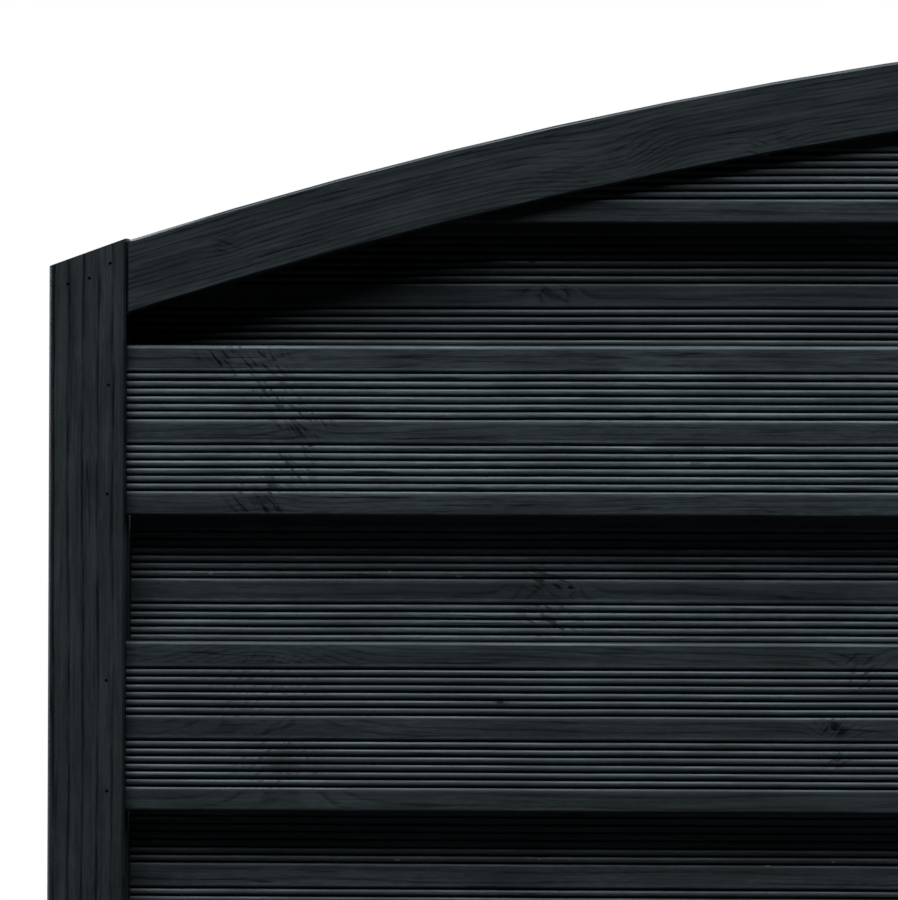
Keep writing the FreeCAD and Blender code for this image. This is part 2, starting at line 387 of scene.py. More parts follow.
def make_knot_group():
    """Node group: bends the grain round one knot and marks its core and the torn grain round it."""
    tree = bpy.data.node_groups.new("Knot in the Grain", "ShaderNodeTree")
    group_sockets(tree, [
        ("Grain", "NodeSocketVector", None),
        ("Ragged", "NodeSocketFloat", 0.5),
        ("Centre", "NodeSocketVector", None),
        ("Radius", "NodeSocketFloat", 0.006),
        ("Bend", "NodeSocketFloat", 0.02),
        ("Heart Wood", "NodeSocketFloat", 1.0),
        ("Torn", "NodeSocketFloat", 1.0),
    ], [("Shift", "NodeSocketFloat"), ("Core", "NodeSocketFloat"), ("Rim", "NodeSocketFloat")])
    start = tree.nodes.new("NodeGroupInput").outputs
    end = tree.nodes.new("NodeGroupOutput").inputs
    parts = add_parts(tree, add_vectors(tree, "SUBTRACT", start["Grain"], start["Centre"]))
    along = add_math(tree, "MULTIPLY", parts[0], 0.7)
    reach = add_math(tree, "DIVIDE", add_length(tree, along, parts[1]), start["Radius"])
    fall = add_math(tree, "MULTIPLY", add_math(tree, "MULTIPLY", reach, reach), -0.16)
    shift = add_math(tree, "MULTIPLY", add_math(tree, "EXPONENT", fall), start["Bend"])
    tree.links.new(shift, end["Shift"])
    frayed = add_math(tree, "MULTIPLY_ADD", start["Ragged"], 1.6, add_math(tree, "ADD", reach, -0.8))
    core = add_math(tree, "MULTIPLY", add_remap(tree, frayed, 0.95, 0.45), start["Heart Wood"])
    tree.links.new(core, end["Core"])
    rim = add_math(tree, "MULTIPLY", add_remap(tree, reach, 3.0, 0.8), start["Torn"])
    tree.links.new(rim, end["Rim"])
    return tree


def make_chip_group():
    """Node group: one pale chip, where a splinter took the stain with it."""
    tree = bpy.data.node_groups.new("Chipped Stain", "ShaderNodeTree")
    group_sockets(tree, [
        ("Grain", "NodeSocketVector", None),
        ("Ragged", "NodeSocketFloat", 0.5),
        ("Centre", "NodeSocketVector", None),
        ("Length", "NodeSocketFloat", 0.004),
        ("Height", "NodeSocketFloat", 0.0012),
    ], [("Chip", "NodeSocketFloat")])
    start = tree.nodes.new("NodeGroupInput").outputs
    end = tree.nodes.new("NodeGroupOutput").inputs
    parts = add_parts(tree, add_vectors(tree, "SUBTRACT", start["Grain"], start["Centre"]))
    along = add_math(tree, "DIVIDE", parts[0], start["Length"])
    across = add_math(tree, "DIVIDE", parts[1], start["Height"])
    reach = add_math(tree, "MULTIPLY_ADD", start["Ragged"], 1.2, add_length(tree, along, across))
    tree.links.new(add_remap(tree, reach, 1.2, 0.7), end["Chip"])
    return tree


def make_grain_group():
    """Node group: growth rings, fibres, splits and blotches, from a point given along the grain."""
    tree = bpy.data.node_groups.new("Stained Grain", "ShaderNodeTree")
    group_sockets(tree, [
        ("Grain", "NodeSocketVector", None),
        ("Heart", "NodeSocketVector", None),
        ("Ring Width", "NodeSocketFloat", 0.004),
        ("Line", "NodeSocketFloat", 0.4),
        ("Sway", "NodeSocketFloat", 0.03),
        ("Shift", "NodeSocketFloat", 0.0),
    ], [
        ("Rings", "NodeSocketFloat"),
        ("Fibre", "NodeSocketFloat"),
        ("Splits", "NodeSocketFloat"),
        ("Blotch", "NodeSocketFloat"),
        ("Streaks", "NodeSocketFloat"),
    ])
    start = tree.nodes.new("NodeGroupInput").outputs
    end = tree.nodes.new("NodeGroupOutput").inputs
    place = add_vectors(tree, "ADD", start["Grain"], start["Heart"])
    parts = add_parts(tree, place)
    sway = add_noise(tree, add_scaled(tree, place, (1.0, 4.0, 4.0)), 2.6, 2.0)
    ripple = add_noise(tree, add_scaled(tree, place, (0.7, 6.0, 6.0)), 22.0, 3.0, 0.6)
    across = add_math(tree, "MULTIPLY_ADD", sway, start["Sway"], parts[1])
    across = add_math(tree, "MULTIPLY_ADD", ripple, 3.5 * MM, across)
    radius = add_math(tree, "ADD", add_length(tree, across, parts[2]), start["Shift"])
    turns = add_math(tree, "FRACT", add_math(tree, "DIVIDE", radius, start["Ring Width"]))
    before_end = add_math(tree, "DIVIDE", add_math(tree, "SUBTRACT", 1.0, turns), start["Line"])
    late = add_remap(tree, before_end, 1.0, 0.45)
    early = add_remap(tree, before_end, 0.0, 0.25)
    dash = add_noise(tree, add_scaled(tree, place, (26.0, 330.0, 330.0)), 1.0, 3.0, 0.6)
    ring = add_math(tree, "MULTIPLY", late, early)
    ring = add_math(tree, "MULTIPLY", ring, add_remap(tree, dash, 0.32, 0.58, 0.25))
    tree.links.new(ring, end["Rings"])
    long_fibre = add_noise(tree, add_scaled(tree, place, (9.0, 750.0, 750.0)), 1.0, 3.0, 0.65)
    short_fibre = add_noise(tree, add_scaled(tree, place, (140.0, 1300.0, 1300.0)), 1.0, 2.0, 0.6)
    fibre = add_math(tree, "ADD", add_math(tree, "MULTIPLY", long_fibre, 0.5),
                     add_math(tree, "MULTIPLY", short_fibre, 0.5))
    tree.links.new(fibre, end["Fibre"])
    contour = add_noise(tree, add_scaled(tree, place, (3.2, 150.0, 150.0)), 1.0, 2.0, 0.5)
    thin = add_remap(tree, add_math(tree, "ABSOLUTE", add_math(tree, "ADD", contour, -0.5)), 0.020, 0.004)
    broken = add_remap(tree, dash, 0.44, 0.60)
    tree.links.new(add_math(tree, "MULTIPLY", thin, broken), end["Splits"])
    blotch = add_noise(tree, add_scaled(tree, place, (1.0, 3.0, 3.0)), 16.0, 5.0, 0.65)
    tree.links.new(blotch, end["Blotch"])
    streaks = add_noise(tree, add_scaled(tree, place, (13.0, 210.0, 30.0)), 1.0, 3.0, 0.6)
    tree.links.new(streaks, end["Streaks"])
    return tree


def place_group(tree, group, values, links):
    """A node group in a material, with its own numbers and links."""
    node = tree.nodes.new("ShaderNodeGroup")
    node.node_tree = group
    for socket, value in values.items():
        input_value(node, socket, value)
    for socket, source in links.items():
        tree.links.new(source, node.inputs[socket])
    return node.outputs


def grain_along(tree, direction, settings):
    """Object coordinates as (along the grain, across the face, into the depth)."""
    place = tree.nodes.new("ShaderNodeTexCoord").outputs["Object"]
    x, y, z = add_parts(tree, place)
    if direction == "level":
        ordered = (x, z, y)
    elif direction == "upright":
        ordered = (z, x, y)
    else:
        radius = arch_radius(settings)
        centre = PANEL_HIGH.z - radius
        from_middle = add_math(tree, "SUBTRACT", x, PANEL_MIDDLE)
        up = add_math(tree, "SUBTRACT", z, centre)
        angle = add_math(tree, "ARCTAN2", from_middle, up)
        rise = add_math(tree, "SUBTRACT", add_length(tree, from_middle, up), radius)
        ordered = (add_math(tree, "MULTIPLY", angle, radius), rise, y)
    join = tree.nodes.new("ShaderNodeCombineXYZ")
    for number, source in enumerate(ordered):
        tree.links.new(source, join.inputs[number])
    return join.outputs[0]


def stained_wood(name, direction, stain, heart, ring_width, knots, chips, line=(0.40, 0.45), sway=0.03,
                 ribbed=None, rib_highlight_gain=1.0, tear_angle=30):
    """Black-stained softwood with its own heart, rings, knots and chips.

    heart is added to a point before its rings are drawn. line is the share of a ring's width that is
    dark, and how dark it is. Knots are (along, across, radius, bend, core, torn), and chips are (along,
    across, length, height), in the plane of the grain. ribbed is the low corner of a ribbed board, and
    the factor after it says how much lighter its ribs and arrises are coloured: a painted highlight for
    the sheen that they catch. tear_angle is the slant, in degrees, of the torn fibres round the knots.
    """
    settings = bpy.context.scene.fence_finish
    material = bpy.data.materials.new(name)
    material.use_nodes = True
    tree = material.node_tree
    shader = tree.nodes["Principled BSDF"]
    grain = grain_along(tree, direction, bpy.context.scene.fence_boards)
    ragged = add_noise(tree, grain, 330.0, 4.0, 0.6)
    links = {"Grain": grain}
    shift, core, rim = 0.0, 0.0, 0.0
    for along, across, radius, bend, strength, torn_grain in knots:
        knot = place_group(
            tree, bpy.data.node_groups["Knot in the Grain"],
            {"Radius": radius, "Bend": bend, "Centre": (along, across, 0.0), "Heart Wood": strength,
             "Torn": torn_grain},
            {"Grain": grain, "Ragged": ragged})
        shift = add_math(tree, "ADD", knot["Shift"], shift)
        core = add_math(tree, "MAXIMUM", knot["Core"], core)
        rim = add_math(tree, "MAXIMUM", knot["Rim"], rim)
    if knots:
        links["Shift"] = shift
    wood = place_group(tree, bpy.data.node_groups["Stained Grain"],
                       {"Heart": heart, "Ring Width": ring_width, "Line": line[0], "Sway": sway}, links)
    late = tuple(settings.late_stain)
    colour = add_mix(tree, add_remap(tree, wood["Blotch"], 0.30, 0.70), shade(stain, 0.65), shade(stain, 1.5))
    streaks = add_remap(tree, wood["Streaks"], 0.50, 0.68, 0.0, 0.5)
    colour = add_mix(tree, streaks, colour, shade(stain, 2.0))
    thin = 0.0
    # Painted highlight: the colour on the ribs and arrises is made lighter, for the sheen that they catch
    if ribbed:
        thin = ribs_for_painted_highlight(tree, grain, ribbed)
        lighter = tree.nodes.new("ShaderNodeVectorMath")
        lighter.operation = "SCALE"
        tree.links.new(colour, lighter.inputs[0])
        tree.links.new(add_math(tree, "MULTIPLY_ADD", thin, rib_highlight_gain - 1, 1.0), lighter.inputs["Scale"])
        colour = lighter.outputs[0]
    on_flats = add_math(tree, "MULTIPLY_ADD", thin, -0.8, 1.0)
    lines = add_math(tree, "MULTIPLY", add_math(tree, "MULTIPLY", wood["Rings"], line[1]), on_flats)
    colour = add_mix(tree, lines, colour, late)
    colour = add_mix(tree, add_remap(tree, wood["Fibre"], 0.40, 0.60, 0.55, 0.0), colour, late)
    colour = add_mix(tree, wood["Splits"], colour, shade(late, 0.4))
    height = add_math(tree, "MULTIPLY", wood["Fibre"], 0.5)
    height = add_math(tree, "MULTIPLY_ADD", wood["Rings"], -0.05, height)
    height = add_math(tree, "MULTIPLY_ADD", wood["Splits"], -0.1, height)
    dull, glossy = settings.roughness + 0.09, settings.roughness - 0.07
    rough = add_remap(tree, wood["Streaks"], 0.35, 0.65, dull, glossy)
    sheen = add_math(tree, "MULTIPLY_ADD", thin, 0.45, -0.17)
    rough = add_math(tree, "MULTIPLY_ADD", lines, -0.17, rough)
    rough = add_math(tree, "MULTIPLY_ADD", thin, 0.12, rough)
    if knots:
        slanted = tree.nodes.new("ShaderNodeVectorRotate")
        slanted.rotation_type = "Z_AXIS"
        tree.links.new(grain, slanted.inputs["Vector"])
        input_value(slanted, "Angle", math.radians(tear_angle))
        fibres = add_noise(tree, add_scaled(tree, slanted.outputs[0], (75.0, 430.0, 430.0)), 1.0, 2.0, 0.5)
        torn = add_math(tree, "MULTIPLY", rim, add_remap(tree, fibres, 0.50, 0.64))
        colour = add_mix(tree, add_math(tree, "MULTIPLY", torn, 0.85), colour, shade(late, 0.3))
        colour = add_mix(tree, add_math(tree, "MULTIPLY", core, 0.9), colour, shade(late, 0.3))
        height = add_math(tree, "MULTIPLY_ADD", core, -0.6, height)
        height = add_math(tree, "MULTIPLY_ADD", torn, -0.2, height)
        rough = add_math(tree, "MULTIPLY_ADD", add_math(tree, "MAXIMUM", torn, core), sheen, rough)
    pale = 0.0
    for along, across, length, rise in chips:
        chip = place_group(tree, bpy.data.node_groups["Chipped Stain"],
                           {"Centre": (along, across, 0.0), "Length": length, "Height": rise},
                           {"Grain": grain, "Ragged": ragged})
        pale = add_math(tree, "MAXIMUM", chip["Chip"], pale)
    if chips:
        colour = add_mix(tree, pale, colour, tuple(settings.bare_wood))
    tree.links.new(colour, shader.inputs["Base Color"])
    tree.links.new(rough, shader.inputs["Roughness"])
    bump = tree.nodes.new("ShaderNodeBump")
    input_value(bump, "Strength", 0.45)
    input_value(bump, "Distance", 0.25 * MM)
    tree.links.new(height, bump.inputs["Height"])
    tree.links.new(bump.outputs["Normal"], shader.inputs["Normal"])
    input_value(shader, "IOR", 1.45)
    shader.inputs["Specular Tint"].default_value = (0.72, 0.90, 1.0, 1.0)
    return material


def ribs_for_painted_highlight(tree, grain, corner):
    """Mask for the painted highlight: a board's ribs and its arrises, on the front only."""
    settings = bpy.context.scene.fence_boards
    across, depth = add_parts(tree, grain)[1:3]
    middle = corner.z + BOARD_WIDTH / 2
    from_groups = add_math(tree, "SUBTRACT", across, middle - settings.group_drop)
    from_groups = add_math(tree, "ABSOLUTE", from_groups)
    from_group = add_math(tree, "SUBTRACT", from_groups, settings.group_spacing / 2)
    from_group = add_math(tree, "ABSOLUTE", from_group)
    reach = (settings.grooves_in_group - 1) / 2 * settings.rib_pitch
    reach += settings.groove_width / 2 + settings.rib_round
    on_ribs = add_remap(tree, from_group, reach + 1.3 * MM, reach)
    from_middle = add_math(tree, "ABSOLUTE", add_math(tree, "SUBTRACT", across, middle))
    half = BOARD_WIDTH / 2
    on_arris = add_remap(tree, from_middle, half - 2.6 * MM, half - 1.2 * MM)
    in_front = add_remap(tree, depth, corner.y + BOARD_THICKNESS / 2, corner.y + 4 * MM)
    return add_math(tree, "MULTIPLY", add_math(tree, "MAXIMUM", on_ribs, on_arris), in_front)


def nail_steel():
    """Dull, dark nail heads with a little rust in the noise."""
    settings = bpy.context.scene.fence_finish
    material = bpy.data.materials.new("nail_steel")
    material.use_nodes = True
    tree = material.node_tree
    shader = tree.nodes["Principled BSDF"]
    place = tree.nodes.new("ShaderNodeTexCoord").outputs["Object"]
    spots = add_remap(tree, add_noise(tree, place, 900.0, 3.0), 0.4, 0.7)
    metal = tuple(settings.nail_metal)
    tree.links.new(add_mix(tree, spots, metal, (0.012, 0.009, 0.008)), shader.inputs["Base Color"])
    tree.links.new(add_math(tree, "MULTIPLY_ADD", spots, 0.3, 0.45), shader.inputs["Roughness"])
    tree.links.new(add_math(tree, "MULTIPLY_ADD", spots, -0.7, 0.8), shader.inputs["Metallic"])
    return material


def finish_piece(piece, material, node=None):
    """Give a piece its material, hang it under the root body and hide the node that it stands for."""
    piece.data.materials.clear()
    piece.data.materials.append(material)
    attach(piece, "root")
    if node:
        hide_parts(node)


def from_photo(across_px, down_px):
    """Place on the front face, in metres, of a pixel of the photograph."""
    pixels_per_mm = 1.8
    left_edge, side_top = 49.5, 267.0
    side_height = 1650.0
    along = (across_px - left_edge) / pixels_per_mm
    height = side_height - (down_px - side_top) / pixels_per_mm
    return along * MM, FOOT + height * MM


# Knots and torn grain in the photograph: node, pixel across, pixel down, radius and bend in mm,
# darkness of the core, darkness of the torn grain
SEEN_KNOTS = [
    ("front_board_02", 232, 356, 6.0, 2, 0.0, 1.0),
    ("front_board_02", 268, 368, 5.0, 2, 0.0, 1.0),
    ("front_board_02", 276, 398, 5.5, 3, 0.0, 0.9),
    ("front_board_02", 304, 422, 5.5, 2, 0.0, 1.0),
    ("front_board_02", 312, 446, 2.0, 3, 1.0, 1.0),
    ("front_board_02", 292, 470, 6.0, 2, 0.0, 0.9),
    ("front_board_02", 262, 498, 6.0, 4, 0.4, 1.0),
    ("front_board_02", 690, 457, 4.0, 2, 0.0, 0.6),
    ("front_board_03", 262, 690, 12.0, -26, 0.0, 0.45),
    ("front_board_03", 283, 764, 9.0, 18, 0.5, 0.7),
    ("front_board_03", 503, 702, 2.4, 8, 1.0, 1.0),
    ("front_board_03", 840, 726, 3.0, 10, 1.0, 1.0),
    ("front_board_03", 843, 757, 3.2, 10, 0.8, 1.0),
    ("front_board_03", 868, 673, 5.0, 9, 0.0, 1.0),
    ("back_board_02", 548, 578, 5.0, 8, 0.0, 1.0),
    ("back_board_02", 571, 588, 1.4, 4, 1.0, 1.0),
    ("back_board_02", 550, 622, 5.5, 14, 0.4, 1.0),
    ("back_board_01", 530, 260, 2.4, 8, 1.0, 1.0),
    ("back_board_01", 553, 290, 3.5, 6, 0.0, 0.6),
    ("front_board_01", 858, 269, 2.0, 5, 1.0, 1.0),
    ("arch_rail", 600, 170, 8.0, 9, 0.0, 0.15),
    ("arch_rail", 640, 160, 5.0, 4, 0.0, 0.1),
    ("arch_rail", 228, 245, 3.0, 2, 0.0, 0.5),
    ("arch_rail", 772, 152, 5.0, 4, 0.0, 0.5),
]

# Pale chips in the photograph: node, pixel across, pixel down, half length and half height in mm
SEEN_CHIPS = [
    ("arch_rail", 770, 155, 4.0, 0.7),
    ("back_board_02", 388, 571, 5.5, 1.6),
    ("back_board_02", 207, 575, 3.0, 0.8),
    ("back_board_02", 458, 577, 4.0, 0.8),
    ("back_board_03", 335, 864, 2.5, 0.8),
    ("back_board_03", 397, 862, 3.5, 1.2),
    ("back_board_03", 540, 860, 2.2, 0.7),
    ("back_board_03", 770, 866, 2.2, 0.8),
    ("back_board_03", 836, 862, 2.6, 1.1),
]


def plane_of_grain(node, along, height):
    """A place on the front face as (along the grain, across it) for a piece."""
    if node == "arch_rail":
        radius = arch_radius(bpy.context.scene.fence_boards)
        from_middle, up = along - PANEL_MIDDLE, height - (PANEL_HIGH.z - radius)
        return math.atan2(from_middle, up) * radius, math.hypot(from_middle, up) - radius
    return along, height


def seen_marks(node, marks):
    """The marks on one piece, from pixels and millimetres to places and sizes in metres."""
    found = []
    for name, across_px, down_px, *sizes in marks:
        if name == node:
            found.append((*plane_of_grain(node, *from_photo(across_px, down_px)), *sizes))
    return found


def knots_of(node):
    return [(along, across, radius * MM, bend * MM, core, torn)
            for along, across, radius, bend, core, torn in seen_marks(node, SEEN_KNOTS)]


def chips_of(node):
    return [(along, across, length * MM, rise * MM)
            for along, across, length, rise in seen_marks(node, SEEN_CHIPS)]


def unseen_knots(node, chance):
    """One or two knots on the part of a board that the photograph leaves out."""
    low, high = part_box(node)
    in_photo = node[-2:] in ("01", "02", "03")
    found = []
    for _ in range(chance.randint(1, 2)):
        along = chance.uniform(0.55 if in_photo else 0.08, high.x - 0.06)
        height = chance.uniform(low.z + 0.015, high.z - 0.015)
        radius = chance.uniform(2.5, 6.0) * MM
        found.append((along, height, radius, radius * chance.uniform(1.8, 2.6), 1.0, 0.6))
    return found


class FENCE_OT_boards(bpy.types.Operator):
    """Model one ribbed board, copy it to each place, and cut the top boards to the arch"""

    bl_idname = "fence.boards"
    bl_label = "Ribbed Boards"

    def groove_middles(self, settings):
        """Heights of the grooves' middles, from the board's lower edge."""
        middles = []
        for side in (-0.5, 0.5):
            group = BOARD_WIDTH / 2 - settings.group_drop + side * settings.group_spacing
            for number in range(settings.grooves_in_group):
                step = number - (settings.grooves_in_group - 1) / 2
                middles.append(group + step * settings.rib_pitch)
        return middles

    def model_board(self, settings):
        """A section cut from a plane, its ribs rounded, drawn out to the board's length."""
        bpy.ops.object.select_all(action="DESELECT")
        bpy.ops.mesh.primitive_plane_add(
            size=1, location=(0, BOARD_THICKNESS / 2, BOARD_WIDTH / 2), rotation=(0, math.radians(90), 0))
        board = bpy.context.active_object
        apply_place(board)
        edit(board)
        bpy.ops.transform.resize(value=(1, BOARD_THICKNESS, BOARD_WIDTH))
        floor = settings.groove_depth
        bpy.ops.mesh.bisect(plane_co=(0, floor, 0), plane_no=(0, 1, 0))
        half = settings.groove_width / 2
        middles = self.groove_middles(settings)
        for middle in middles:
            for side in (-half, half):
                bpy.ops.mesh.select_all(action="SELECT")
                bpy.ops.mesh.bisect(plane_co=(0, 0, middle + side), plane_no=(0, 0, 1))

        def in_groove(face):
            centre = face.calc_center_median()
            return centre.y < floor and any(abs(centre.z - middle) < half for middle in middles)

        choose(board, "faces", in_groove)
        bpy.ops.mesh.delete(type="FACE")

        def rib_corner(vert):
            on_face = vert.co.y < 1e-6
            return on_face and any(abs(abs(vert.co.z - middle) - half) < 1e-6 for middle in middles)

        choose(board, "verts", rib_corner)
        bpy.ops.mesh.bevel(offset=settings.rib_round, segments=5, profile=0.5, affect="VERTICES")

        def on_shoulder(vert):
            beside = min(abs(vert.co.z - middle) for middle in middles)
            return vert.co.y < settings.rib_round + 1e-6 and beside < half + settings.rib_round + 1e-6

        choose(board, "verts", on_shoulder)
        bpy.ops.transform.resize(value=(1, settings.rib_flatness, 1), center_override=(0, 0, 0))

        def outer_corner(vert):
            at_side = vert.co.y < 1e-6 or vert.co.y > BOARD_THICKNESS - 1e-6
            at_edge = vert.co.z < 1e-6 or vert.co.z > BOARD_WIDTH - 1e-6
            return at_side and at_edge

        choose(board, "verts", outer_corner)
        bpy.ops.mesh.bevel(offset=settings.arris_round, segments=4, profile=0.5, affect="VERTICES")
        bpy.ops.mesh.select_all(action="SELECT")
        bpy.ops.mesh.extrude_region_move(TRANSFORM_OT_translate={"value": (BOARD_LENGTH, 0, 0)})

        def runs_along(edge):
            return abs(edge.verts[0].co.x - edge.verts[1].co.x) > BOARD_LENGTH / 2

        choose(board, "edges", runs_along)
        bpy.ops.mesh.subdivide(number_cuts=settings.length_cuts)
        leave_edit()
        tidy_normals(board)
        return board

    def waver(self, board, settings, number):
        """Let the ribs stray a little and the face rise and fall, as planed softwood does."""
        for axis, strength, size in (("Z", settings.waver, 0.07), ("Y", settings.hollow, 0.13)):
            texture = bpy.data.textures.new(f"waver_{axis}_{number}", "CLOUDS")
            texture.noise_scale = size
            texture.noise_depth = 2
            push = board.modifiers.new(f"waver_{axis}", "DISPLACE")
            push.texture = texture
            push.texture_coords = "GLOBAL"
            push.direction = axis
            push.space = "LOCAL"
            push.strength = strength
            push.mid_level = 0.5
        apply_modifiers(board)

    def scribe(self, board, settings):
        """Cut a board's head to the arch, inside the rail's groove."""
        radius = arch_radius(settings) - settings.scribe_inset
        centre = PANEL_HIGH.z - arch_radius(settings)
        bpy.ops.object.select_all(action="DESELECT")
        bpy.ops.mesh.primitive_cylinder_add(
            vertices=720, radius=radius, depth=0.3, location=(PANEL_MIDDLE, 0, centre),
            rotation=(math.radians(90), 0, 0))
        disc = bpy.context.active_object
        apply_place(disc)
        cut = board.modifiers.new("scribe", "BOOLEAN")
        cut.operation = "INTERSECT"
        cut.solver = "EXACT"
        cut.object = disc
        apply_modifiers(board)
        bpy.data.objects.remove(disc)

    def execute(self, context):
        settings = context.scene.fence_boards
        finish = context.scene.fence_finish
        chance = random.Random(41)
        master = self.model_board(settings)
        for number, node in enumerate(BOARD_NODES):
            low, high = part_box(node)
            board = copy_of(master, f"ribbed_{node}")
            board.location = (PANEL_MIDDLE - BOARD_LENGTH / 2, low.y, low.z)
            apply_place(board)
            self.waver(board, settings, number)
            if node.endswith("_01"):
                self.scribe(board, settings)
            tidy_normals(board)
            smooth_by_angle(board, 40)
            heart = (chance.uniform(-9, 9), chance.uniform(-0.05, 0.05) - low.z - BOARD_WIDTH / 2,
                     chance.uniform(0.025, 0.06))
            # The second factor scales the painted highlight on the ribs
            tint, rib_highlight_share = BOARD_TINTS.get(node, (chance.uniform(0.85, 1.15), 1.0))
            stain = shade(finish.board_stain, tint)
            ring_width = chance.uniform(2.4, 4.0) * MM
            knots = knots_of(node) + unseen_knots(node, chance)
            material = stained_wood(
                f"stain_{node}", "level", stain, heart, ring_width, knots, chips_of(node), ribbed=low,
                rib_highlight_gain=rib_highlight_share * finish.rib_painted_highlight, tear_angle=TEAR_ANGLES.get(node, 30))
            finish_piece(board, material, node)
        bpy.data.objects.remove(master)
        return {"FINISHED"}


# Nails at the left stile's head in the photograph: pixel across, pixel down
SEEN_NAILS = [(68.4, 285.4), (90, 279.5), (111, 264.8)]

# Nails at the left stile's foot: mm from its outer side, mm from its foot
FOOT_NAILS = [(11, 19), (22, 25), (33, 18)]

# Each board's two nails: mm above its lower edge, and the range of mm from the stile's inner side
BOARD_NAIL_HEIGHTS = (12, 72)
BOARD_NAIL_INSET = (9.0, 10.4)


def nail_places():
    """Places of the nails: across the panel, height, and the y of the face that they enter."""
    chance = random.Random(7)
    places = []
    for across_px, down_px in SEEN_NAILS:
        along, height = from_photo(across_px, down_px)
        places.append((along, height, FRONT_FACE))
    for along, height in FOOT_NAILS:
        places.append((along * MM, FOOT + height * MM, FRONT_FACE))
    for node in BOARD_NODES:
        if node.endswith("_01"):
            continue
        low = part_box(node)[0]
        face = FRONT_FACE if node.startswith("front") else BACK_FACE
        for height in BOARD_NAIL_HEIGHTS:
            from_side = STILE_FACE - chance.uniform(*BOARD_NAIL_INSET) * MM
            stray = chance.uniform(-2, 2)
            places.append((from_side, low.z + height * MM + stray * MM, face))
    mirrored = [(PANEL_LOW.x + PANEL_HIGH.x - along, height, face) for along, height, face in places]
    return places + mirrored


def add_pins(name, radius, inner, outer, sides, places):
    """Short round pins across the faces of the panel, from one depth to another, joined to one piece."""
    pins = []
    for along, height, face in places:
        outward = -1 if face < 0 else 1
        bpy.ops.object.select_all(action="DESELECT")
        bpy.ops.mesh.primitive_cylinder_add(
            vertices=sides, radius=radius, depth=outer - inner, rotation=(math.radians(90), 0, 0),
            location=(along, face + outward * (inner + outer) / 2, height))
        pins.append(bpy.context.active_object)
    select_only(*pins)
    bpy.ops.object.join()
    piece = bpy.context.active_object
    piece.name = name
    piece.data.name = name
    apply_place(piece)
    return piece


# Wood of each timber: the way of its grain, its heart, ring width, the rings' dark lines (share of the width,
# darkness), sway, and its knots past the photograph (along, across, radius, bend, core, torn)
TIMBER_LOOKS = {
    "stile_left": ("upright", (3.1, 0.2099, 0.0), 8.1 * MM, (0.30, 0.85), 0.004, []),
    "stile_right": ("upright", (7.7, -1.60, 0.02), 7.0 * MM, (0.26, 0.9), 0.006,
                    [(0.31, 1.783, 4 * MM, 10 * MM, 1.0, 1.0)]),
    "arch_rail": ("arched", (5.2, 0.050, 0.030), 2.7 * MM, (0.45, 0.6), 0.02, []),
    "bottom_rail": ("level", (1.3, 0.83, 0.05), 3.6 * MM, (0.42, 0.6), 0.02,
                    [(0.7, -0.8, 5 * MM, 12 * MM, 1.0, 1.0)]),
}


class FENCE_OT_timbers(bpy.types.Operator):
    """Refine the stiles and rails: round their arrises, open the rail's joint and sink the nails' pits"""

    bl_idname = "fence.timbers"
    bl_label = "Stiles and Rails"

    def soften(self, timber, settings):
        """Round the arrises that the solid has as flat bevels."""
        edit(timber)
        bpy.ops.mesh.remove_doubles(threshold=1e-5)
        bpy.ops.mesh.dissolve_limited(angle_limit=math.radians(0.5))
        leave_edit()
        arris = timber.modifiers.new("arris", "BEVEL")
        arris.limit_method = "ANGLE"
        arris.angle_limit = math.radians(30)
        arris.width = settings.arris_softness
        arris.segments = 2
        apply_modifiers(timber)

    def cut_away(self, timber, cutter):
        cut = timber.modifiers.new("cut", "BOOLEAN")
        cut.operation = "DIFFERENCE"
        cut.solver = "EXACT"
        cut.object = cutter
        apply_modifiers(timber)

    def joint_gap(self, settings):
        """Thin blades that open the joints between the arched rail and the stiles."""
        cut_depth, blade_height, blade_drop = 12 * MM, 0.2, 0.13
        blades = []
        for x in (PANEL_LOW.x + STILE_FACE, PANEL_HIGH.x - STILE_FACE):
            inward = 1 if x < PANEL_MIDDLE else -1
            for face in (FRONT_FACE, BACK_FACE):
                bpy.ops.object.select_all(action="DESELECT")
                bpy.ops.mesh.primitive_cube_add(
                    size=1, scale=(settings.joint_gap, cut_depth, blade_height),
                    location=(x + inward * settings.joint_gap / 2, face, PANEL_HIGH.z - blade_drop))
                blades.append(bpy.context.active_object)
        select_only(*blades)
        bpy.ops.object.join()
        gap = bpy.context.active_object
        apply_place(gap)
        return gap

    def execute(self, context):
        finish = context.scene.fence_finish
        settings = context.scene.fence_timbers
        pits = add_pins("pits", settings.pit_radius, -settings.pit_depth, 1 * MM, 10, nail_places())
        gap = self.joint_gap(settings)
        for node in TIMBER_NODES:
            timber = copy_of(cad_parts[node], f"dressed_{node}")
            timber.parent = None
            for key in list(timber.keys()):
                del timber[key]
            self.soften(timber, settings)
            if node.startswith("stile"):
                self.cut_away(timber, pits)
            if node == "arch_rail":
                self.cut_away(timber, gap)
            smooth_by_angle(timber, 50)
            direction, heart, ring_width, line, sway, knots = TIMBER_LOOKS[node]
            material = stained_wood(
                f"stain_{node}", direction, tuple(finish.frame_stain), heart, ring_width,
                knots_of(node) + knots, chips_of(node), line, sway)
            finish_piece(timber, material, node)
        bpy.data.objects.remove(pits)
        bpy.data.objects.remove(gap)
        return {"FINISHED"}


class FENCE_OT_nails(bpy.types.Operator):
    """Set the nails that hold the boards and the rails' tenons, each below the face of the stile"""

    bl_idname = "fence.nails"
    bl_label = "Nails"

    def execute(self, context):
        settings = context.scene.fence_timbers
        point, head = -9 * MM, -settings.pit_depth * 0.6
        nails = add_pins("nails", settings.pit_radius - 0.05 * MM, point, head, 10, nail_places())
        tidy_normals(nails)
        smooth_by_angle(nails, 45)
        finish_piece(nails, nail_steel())
        return {"FINISHED"}


